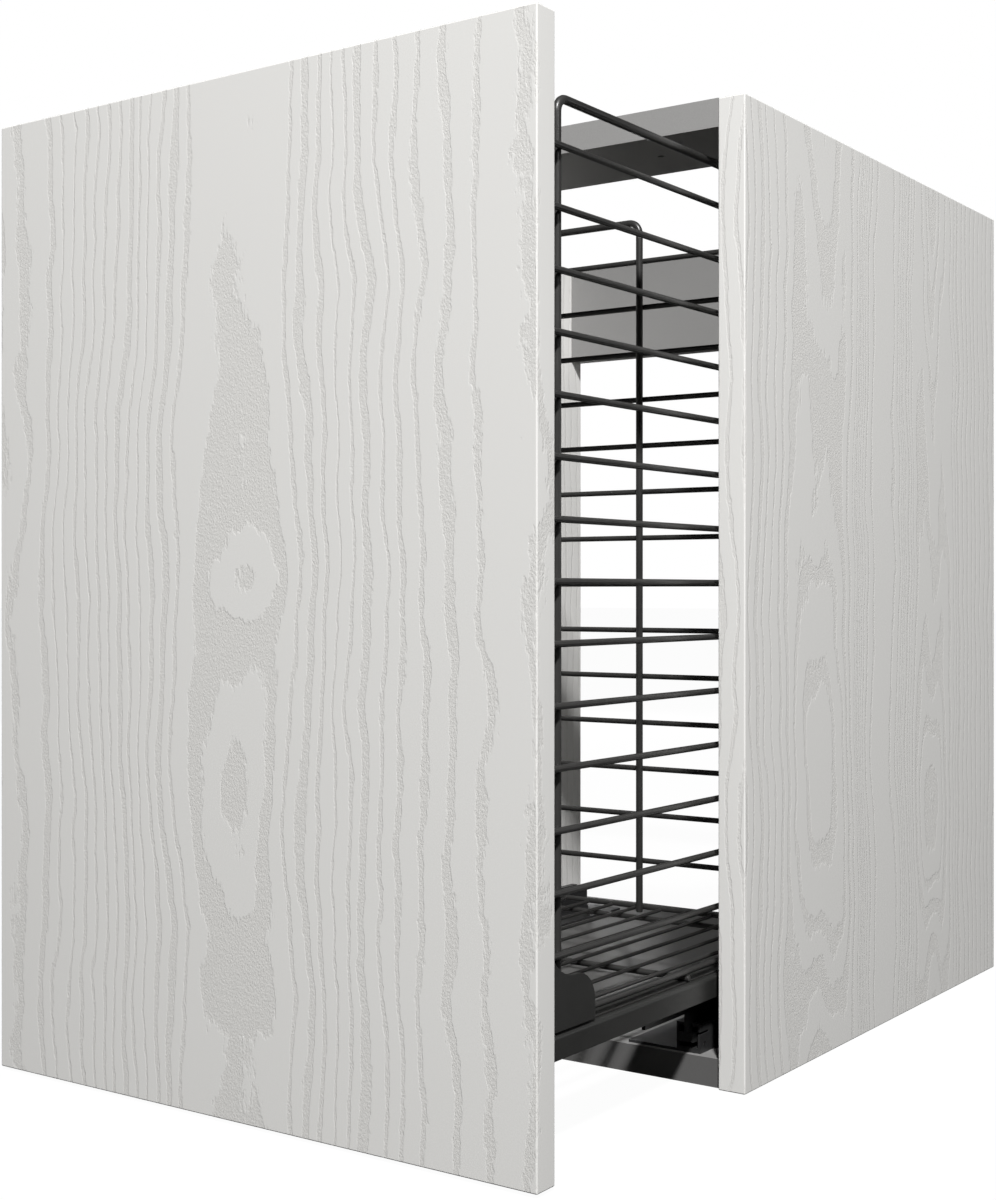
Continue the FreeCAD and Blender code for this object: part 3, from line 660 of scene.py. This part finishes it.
def pan_head(bm, seat, out, radius, height):
    """A pan head with a cross recess on the board at seat, facing out."""
    place = Matrix.Translation(seat) @ out.to_track_quat("Z", "X").to_matrix().to_4x4()
    rim = start_wire(bm, seat, out, radius, 24)
    level = 0.0
    for rise, share in PAN_PROFILE:
        rim = run_wire(bm, rim, out * (rise - level) * height)
        verts = list(dict.fromkeys(vert for edge in rim for vert in edge.verts))
        centre = seat + out * rise * height
        factor = share * radius / (verts[0].co - centre).length
        bmesh.ops.scale(bm, verts=verts, vec=(factor, factor, factor), space=Matrix.Translation(-centre))
        level = rise
    wide, narrow = 0.5 * radius, 0.13 * radius
    cross = [
        (wide, -narrow), (wide, narrow), (narrow, narrow), (narrow, wide), (-narrow, wide),
        (-narrow, narrow), (-wide, narrow), (-wide, -narrow), (-narrow, -narrow), (-narrow, -wide),
        (narrow, -wide), (narrow, -narrow),
    ]
    verts = [bm.verts.new(place @ Vector((a, b, height))) for a, b in cross]
    edges = [bm.edges.new((vert, verts[index - 1])) for index, vert in enumerate(verts)]
    bmesh.ops.triangle_fill(bm, edges=rim + edges, use_beauty=True)
    floor = run_wire(bm, edges, -out * height * 0.6)
    bmesh.ops.edgeloop_fill(bm, edges=floor)


def finish_named(name, make):
    """The finish of that name, made the first time it is asked for."""
    return bpy.data.materials.get(name) or make()


# ------------------------------------------------------------------ boards

class LARDER_OT_door(Operator):
    """The slab door in embossed white foil"""
    bl_idname = "larder.door"
    bl_label = "Door"

    def execute(self, context):
        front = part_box("door_panel")[0].y / MM
        material = foil_finish("door_foil", front, DOOR_GRAIN)
        add_piece("door_board", board("door_panel"), material, "pull_out", "white_board", "door_panel")
        return {"FINISHED"}


class LARDER_OT_sides(Operator):
    """The two side panels in embossed white foil"""
    bl_idname = "larder.sides"
    bl_label = "Side panels"

    def execute(self, context):
        for side in ("right", "left"):
            node = "side_panel_" + side
            low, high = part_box(node)
            face = -high.x if side == "right" else -low.x
            material = foil_finish("side_foil_" + side, face / MM, SIDE_GRAIN)
            add_piece("side_board_" + side, board(node), material, "cabinet", "white_board", node)
        return {"FINISHED"}


class LARDER_OT_carcass(Operator):
    """The grey boards and dowels between the sides"""
    bl_idname = "larder.carcass"
    bl_label = "Carcass boards"

    def execute(self, context):
        # Painted light and shade per board, as (overall painted shade, painted edge light and shade,
        # painted far shade): the back rail is darker all over, the bottom panel's edge and far part
        # darker, the top rail's edge lighter
        painted_board_shades = {
            "bottom_panel": (1.0, 0.5, 0.5),
            "top_front_rail": (1.0, 1.25, 1.0),
            "back_rail": (0.9, 1.0, 1.0),
        }
        for node, (shade, painted_edge_light_and_shade, painted_far_shade) in painted_board_shades.items():
            coat_nodes(laminate_finish(node, shade, painted_edge_light_and_shade, painted_far_shade), node)
            soften(0.5 * MM, node)
        coat_nodes(beech_finish(), "dowels")
        return {"FINISHED"}


# ------------------------------------------------------------------ wire basket

def wire_coat():
    colour = bpy.context.scene.larder_metals.wire_colour
    return finish_named("wire_coat", lambda: coat_finish("wire_coat", colour, 0.34))


class LARDER_OT_hoops(Operator):
    """The basket's closed wire hoops"""
    bl_idname = "larder.hoops"
    bl_label = "Basket hoops"

    def execute(self, context):
        wires = context.scene.larder_wires
        radius = wires.hoop_wire / 2
        for node in sorted(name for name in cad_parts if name.startswith("basket_hoop_")):
            low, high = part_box(node)
            low, high = low + Vector([radius] * 3), high - Vector([radius] * 3)
            corner = wires.hoop_corner
            z = (low.z + high.z) / 2
            x_run = high.x - low.x - 2 * corner
            y_run = high.y - low.y - 2 * corner
            bm = bmesh.new()
            ring = start_wire(
                bm, Vector((0, low.y, z)), Vector((1, 0, 0)), radius, wires.sides)
            ring = run_wire(bm, ring, Vector((x_run / 2, 0, 0)))
            turns = (
                ((high.x - corner, low.y + corner, z), (0, y_run, 0)),
                ((high.x - corner, high.y - corner, z), (-x_run, 0, 0)),
                ((low.x + corner, high.y - corner, z), (0, -y_run, 0)),
                ((low.x + corner, low.y + corner, z), (x_run / 2, 0, 0)),
            )
            for centre, run in turns:
                ring = bend_wire(bm, ring, Vector(centre), (0, 0, 1), math.pi / 2, wires.bend_steps)
                ring = run_wire(bm, ring, Vector(run))
            bmesh.ops.remove_doubles(bm, verts=bm.verts, dist=0.01 * MM)
            add_piece("round_" + node[7:], bm, wire_coat(), "pull_out", "coated_wire", node)
        return {"FINISHED"}


def draw_arch(node, along):
    """An upright arch: up, over and down in the plane of along and z."""
    wires = bpy.context.scene.larder_wires
    radius = wires.upright_wire / 2
    corner = wires.upright_corner
    low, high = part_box(node)
    middle = (low + high) / 2
    half = (high - low).dot(along) / 2 - radius
    top = high.z - radius
    rise = top - corner - low.z
    span = 2 * (half - corner)
    start = Vector((middle.x, middle.y, low.z)) + along * half
    axis = Vector((0, 0, 1)).cross(-along)
    bm = bmesh.new()
    first = start_wire(bm, start, Vector((0, 0, 1)), radius, wires.sides)
    ring = run_wire(bm, first, Vector((0, 0, rise)))
    centre = start + Vector((0, 0, rise)) - along * corner
    ring = bend_wire(bm, ring, centre, axis, math.pi / 2, wires.bend_steps)
    ring = run_wire(bm, ring, -along * span)
    ring = bend_wire(bm, ring, centre - along * span, axis, math.pi / 2, wires.bend_steps)
    last = run_wire(bm, ring, Vector((0, 0, -rise)))
    close_end(bm, first, radius)
    close_end(bm, last, radius)
    add_piece("round_" + node, bm, wire_coat(), "pull_out", "coated_wire", node)


class LARDER_OT_uprights(Operator):
    """The four upright arches that carry the hoops"""
    bl_idname = "larder.uprights"
    bl_label = "Upright arches"

    def execute(self, context):
        for node in ("side_upright_right", "side_upright_left"):
            draw_arch(node, Vector((0, 1, 0)))
        for node in ("front_upright", "rear_upright"):
            draw_arch(node, Vector((1, 0, 0)))
        return {"FINISHED"}


class LARDER_OT_floor_wires(Operator):
    """The wires of the basket's floor"""
    bl_idname = "larder.floor_wires"
    bl_label = "Floor wires"

    def execute(self, context):
        sides = context.scene.larder_wires.sides
        for node, axis in (("cross_wires", 0), ("long_wires", 1)):
            bm = bmesh.new()
            for low, high in solids_of(node):
                middle = (low + high) / 2
                start, end = middle.copy(), middle.copy()
                start[axis], end[axis] = low[axis], high[axis]
                straight_piece(bm, start, end, (high.z - low.z) / 2, sides)
            add_piece("round_" + node, bm, wire_coat(), "pull_out", "coated_wire", node)
        return {"FINISHED"}


# ------------------------------------------------------------------ frame and runners

def frame_coat():
    colour = bpy.context.scene.larder_metals.frame_colour
    return finish_named("frame_coat", lambda: coat_finish("frame_coat", colour, 0.42))


class LARDER_OT_frame(Operator):
    """The frame rails with their round shoulder and groove, and the cross bar"""
    bl_idname = "larder.frame"
    bl_label = "Frame"

    def execute(self, context):
        sizes = context.scene.larder_frame
        land, lip = 0.3 * MM, 0.25 * MM
        web_end, inner_bend = 0.6 * MM, 0.8 * MM
        flange_end, flange_under = 0.7 * MM, 0.4 * MM
        for side, sign in (("right", 1), ("left", -1)):
            node = "frame_rail_" + side
            low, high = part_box(node)
            outer = high.x if sign > 0 else -low.x
            inner = low.x if sign > 0 else -high.x
            shoulder = outer - sizes.shoulder_radius
            groove = shoulder - sizes.groove_width
            floor = high.z - sizes.groove_depth
            under = high.z - sizes.flange_sheet
            web = outer - sizes.web_sheet
            corners = [
                (outer, low.z, web_end), (outer, high.z, sizes.shoulder_radius - land),
                (shoulder, high.z, lip), (shoulder, floor, 0), (groove, floor, 0),
                (groove, high.z, lip), (inner, high.z, flange_end), (inner, under, flange_under),
                (web, under, inner_bend), (web, low.z, web_end),
            ]
            bm = bmesh.new()
            drawn_out(
                bm, rounded_outline(corners), lambda point: Vector((sign * point.x, low.y, point.y)),
                Vector((0, high.y - low.y, 0)))
            add_piece("drawn_" + node, bm, frame_coat(), "pull_out", "frame_steel", node)
        coat_nodes(frame_coat(), "front_cross_bar")
        soften(sizes.soft_edge, "front_cross_bar")
        return {"FINISHED"}


class LARDER_OT_brackets(Operator):
    """The pressed brackets that carry the door"""
    bl_idname = "larder.brackets"
    bl_label = "Door brackets"

    def execute(self, context):
        sizes = context.scene.larder_frame
        arm_end, rim = 1.2 * MM, 0.4 * MM
        for side, sign in (("right", 1), ("left", -1)):
            node = "door_bracket_" + side
            low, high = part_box(node)
            outer = high.x if sign > 0 else -low.x
            inner = low.x if sign > 0 else -high.x
            plate = outer - sizes.bracket_sheet
            arm_low = low.z + sizes.bracket_gap
            arm_top = low.z + sizes.arm_height
            leg_back = low.y + sizes.leg_width
            corners = [
                (low.y, arm_low, 0), (high.y, arm_low, arm_end), (high.y, arm_top, sizes.arm_corner),
                (leg_back, arm_top, sizes.flare), (leg_back, high.z, sizes.leg_corner), (low.y, high.z, 0),
            ]
            bm = bmesh.new()
            drawn_out(
                bm, rounded_outline(corners, 10), lambda point: Vector((sign * plate, point.x, point.y)),
                Vector((sign * sizes.bracket_sheet, 0, 0)))
            rims = [edge for edge in bm.edges if edge.calc_face_angle(0) > math.radians(60)]
            bmesh.ops.bevel(
                bm, geom=rims, offset=rim, segments=3, profile=0.5, affect="EDGES", material=-1)
            blocks = (
                ((inner, low.y, low.z), (plate, low.y + sizes.bracket_sheet, high.z)),
                ((outer - sizes.foot_width, low.y, low.z),
                 (plate, low.y + sizes.foot_length, low.z + sizes.bracket_sheet)),
            )
            for first, last in blocks:
                ends = sorted((sign * first[0], sign * last[0]))
                add_block(bm, Vector((ends[0], *first[1:])), Vector((ends[1], *last[1:])), 0.3 * MM)
            add_piece("pressed_" + node, bm, frame_coat(), "pull_out", "frame_steel", node)
        return {"FINISHED"}


class LARDER_OT_runners(Operator):
    """The telescopic runners with their cages and rollers"""
    bl_idname = "larder.runners"
    bl_label = "Runners"

    def execute(self, context):
        colour = context.scene.larder_metals.runner_colour
        soft = context.scene.larder_frame.soft_edge
        steel = coat_finish("runner_steel", colour, 0.38, 0.6)
        bright = rolled_steel_finish("roller_steel", (0.5, 0.5, 0.5), 0.22, 1.0)
        plastic = moulded_finish("black_plastic", (0.014, 0.014, 0.014), 0.5)
        for side in ("_right", "_left"):
            rails = [name + side for name in ("runner_base", "fixed_rail", "middle_member", "inner_rail")]
            cages = ["lower_cage" + side, "upper_cage" + side]
            coat_nodes(steel, *rails)
            coat_nodes(plastic, *cages)
            soften(soft, *rails)
            soften(soft / 2, *cages)
            self.round_pins("lower_rollers" + side, bright, "lower_cage_set" + side, "roller_steel")
            self.round_pins("upper_rollers" + side, bright, "upper_cage_set" + side, "roller_steel")
        self.round_pins("stop_pins", bright, "cabinet", "runner_steel")
        return {"FINISHED"}

    def round_pins(self, node, material, body, slot):
        """Round rollers or pins that lie across the unit."""
        bm = bmesh.new()
        for low, high in solids_of(node):
            middle = (low + high) / 2
            start, end = Vector((low.x, middle.y, middle.z)), Vector((high.x, middle.y, middle.z))
            straight_piece(bm, start, end, (high.z - low.z) / 2, 20)
        add_piece("round_" + node, bm, material, body, slot, node)


class LARDER_OT_fixings(Operator):
    """Screws, door clips and bumpers"""
    bl_idname = "larder.fixings"
    bl_label = "Fixings"

    def execute(self, context):
        sizes = context.scene.larder_frame
        zinc = rolled_steel_finish("zinc", (0.42, 0.42, 0.41), 0.32, 1.0)
        down, back = Vector((0, 0, 1)), Vector((0, 1, 0))
        for node, out, body in (
                ("base_screws", down, "cabinet"), ("foot_screws", down, "pull_out"),
                ("door_screws", back, "pull_out")):
            bm = bmesh.new()
            for low, high in solids_of(node):
                radius = (high.x - low.x) / 2
                middle = (low + high) / 2
                reach = (high - low).dot(out) / 2
                seat = middle + out * (reach - sizes.screw_head)
                tip = middle - out * reach
                straight_piece(bm, seat + out * 0.1 * MM, tip, radius / 2, 16)
                pan_head(bm, seat, out, radius, sizes.screw_head)
            add_piece("pan_" + node, bm, zinc, body, "screw_steel", node)

        coat_nodes(moulded_finish("clip_plastic", (0.02, 0.02, 0.02), 0.45), "door_clips")
        soften(0.4 * MM, "door_clips")

        dome = 1.1 * MM
        bm = bmesh.new()
        for low, high in solids_of("door_buffers"):
            middle = (low + high) / 2
            radius = (high.x - low.x) / 2
            first = start_wire(bm, Vector((middle.x, low.y, middle.z)), back, radius, 24)
            last = run_wire(bm, first, Vector((0, high.y - low.y, 0)))
            bmesh.ops.edgeloop_fill(bm, edges=first)
            made = bmesh.ops.edgeloop_fill(bm, edges=last)
            bmesh.ops.bevel(
                bm, geom=list(made["faces"][0].edges), offset=dome, segments=5, profile=0.5,
                affect="EDGES", material=-1)
        add_piece("domed_buffers", bm, clear_rubber_finish(), "pull_out", "buffer_rubber", "door_buffers")
        return {"FINISHED"}


# ------------------------------------------------------------------ studio

def area_light(name, place, target, sides, power):
    """A soft rectangular lamp that faces target; sides are its width and height."""
    lamp = bpy.data.lights.new(name, "AREA")
    lamp.shape = "RECTANGLE"
    lamp.size, lamp.size_y = sides
    lamp.energy = power
    holder = bpy.data.objects.new(name, lamp)
    holder.location = place
    holder.rotation_euler = (Vector(target) - Vector(place)).to_track_quat("-Z", "Y").to_euler()
    bpy.context.scene.collection.objects.link(holder)


def floor_finish(shade):
    """Pale floor: near white to the camera, with a faint shadow."""
    recipe = Recipe("pale_floor", (0.8, 0.8, 0.8), 0.9)
    tree = recipe.tree
    output = tree.nodes["Material Output"]
    path = recipe.step("LightPath")
    seen = recipe.math("MAXIMUM", path.outputs["Is Camera Ray"], path.outputs["Is Transmission Ray"])
    glow = recipe.step("Emission", {"Color": (1, 1, 1, 1), "Strength": 1.0})
    own = recipe.step("BsdfDiffuse", {"Color": (0.9, 0.9, 0.9, 1)})
    dull = recipe.step("BsdfDiffuse", {"Color": (0.04, 0.04, 0.04, 1)})
    pale = recipe.step("MixShader", (shade, glow.outputs[0], own.outputs[0]))
    both = recipe.step("MixShader", (seen, dull.outputs[0], pale.outputs[0]))
    tree.links.new(both.outputs[0], output.inputs["Surface"])
    tree.nodes.remove(recipe.shader)
    return recipe.material


# The photo's camera, solved from the cabinet's edges
CAMERA_PLACE = (0.8308, -1.3415, 0.3619)
CAMERA_TURN = 34.10
FOCAL_LENGTH = 51.24
SENSOR_WIDTH = 36.0
LENS_SHIFT = (-0.0561, -0.00725)


class LARDER_OT_stage(Operator):
    """Pale floor, soft lights and the camera"""
    bl_idname = "larder.stage"
    bl_label = "Studio"

    def execute(self, context):
        studio = context.scene.larder_studio
        bm = bmesh.new()
        bmesh.ops.create_grid(bm, x_segments=1, y_segments=1, size=30.0)
        mesh = bpy.data.meshes.new("pale_floor")
        bm.to_mesh(mesh)
        bm.free()
        mesh.materials.append(floor_finish(studio.floor_shade))
        floor = bpy.data.objects.new("pale_floor", mesh)
        context.scene.collection.objects.link(floor)

        key_sides = (studio.key_size, studio.key_size)
        area_light("key_light", (2.44, -3.19, 4.4), (0.0, -0.3, 0.4), key_sides, studio.key_power)
        area_light("side_light", (1.9, -0.9, 1.4), (0.25, -0.2, 0.6), (0.6, 0.6), studio.side_power)
        area_light("rear_light", (2.0, 1.2, 0.6), (-0.2, 0.15, 0.3), (0.5, 0.5), studio.rear_power)
        area_light("back_light", (-2.6, 2.4, 0.45), (0.0, 0.0, 0.4), (1.4, 0.5), studio.back_power)
        area_light("fill_light", (-0.9, -2.6, 0.5), (0.0, -0.5, 0.3), (1.2, 1.2), studio.fill_power)

        world = bpy.data.worlds.new("studio")
        world.use_nodes = True
        tree = world.node_tree
        background = tree.nodes["Background"]
        path = tree.nodes.new("ShaderNodeLightPath")
        strength = tree.nodes.new("ShaderNodeMapRange")
        strength.inputs["To Min"].default_value = studio.room_light
        strength.inputs["To Max"].default_value = 1.0
        tree.links.new(path.outputs["Is Camera Ray"], strength.inputs["Value"])
        tree.links.new(strength.outputs[0], background.inputs["Strength"])
        background.inputs["Color"].default_value = (1, 1, 1, 1)
        context.scene.world = world
        context.scene.view_settings.view_transform = "Standard"

        lens = bpy.data.cameras.new("camera")
        lens.sensor_width = SENSOR_WIDTH
        lens.lens = FOCAL_LENGTH
        lens.shift_x, lens.shift_y = LENS_SHIFT
        lens.clip_start = 0.05
        lens.clip_end = 100.0
        camera = bpy.data.objects.new("camera", lens)
        camera.location = CAMERA_PLACE
        camera.rotation_euler = (math.pi / 2, 0, math.radians(CAMERA_TURN))
        context.scene.collection.objects.link(camera)
        context.scene.camera = camera
        return {"FINISHED"}


# ------------------------------------------------------------------ panel and running order

STEPS = (
    LARDER_OT_stage, LARDER_OT_door, LARDER_OT_sides, LARDER_OT_carcass, LARDER_OT_hoops,
    LARDER_OT_uprights, LARDER_OT_floor_wires, LARDER_OT_frame, LARDER_OT_brackets,
    LARDER_OT_runners, LARDER_OT_fixings,
)
GROUPS = {
    "larder_wires": LarderWires,
    "larder_boards": LarderBoards,
    "larder_frame": LarderFrame,
    "larder_metals": LarderMetals,
    "larder_studio": LarderStudio,
}


class LARDER_PT_panel(Panel):
    """Lists the sizes, the colours and the pieces"""
    bl_label = "Larder unit"
    bl_idname = "LARDER_PT_panel"
    bl_space_type = "VIEW_3D"
    bl_region_type = "UI"
    bl_category = "Larder"

    def draw(self, context):
        for name, group in GROUPS.items():
            box = self.layout.box()
            for value in group.__annotations__:
                box.prop(getattr(context.scene, name), value)
        for step in STEPS:
            self.layout.operator(step.bl_idname)


CLASSES = (*GROUPS.values(), *STEPS, LARDER_PT_panel)


def register():
    for item in CLASSES:
        bpy.utils.register_class(item)
    for name, group in GROUPS.items():
        setattr(bpy.types.Scene, name, PointerProperty(type=group))


def unregister():
    for name in GROUPS:
        delattr(bpy.types.Scene, name)
    for item in reversed(CLASSES):
        bpy.utils.unregister_class(item)


def main():
    register()
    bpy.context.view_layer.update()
    for step in STEPS:
        group, name = step.bl_idname.split(".")
        getattr(getattr(bpy.ops, group), name)()


if __name__ == "__main__":
    main()
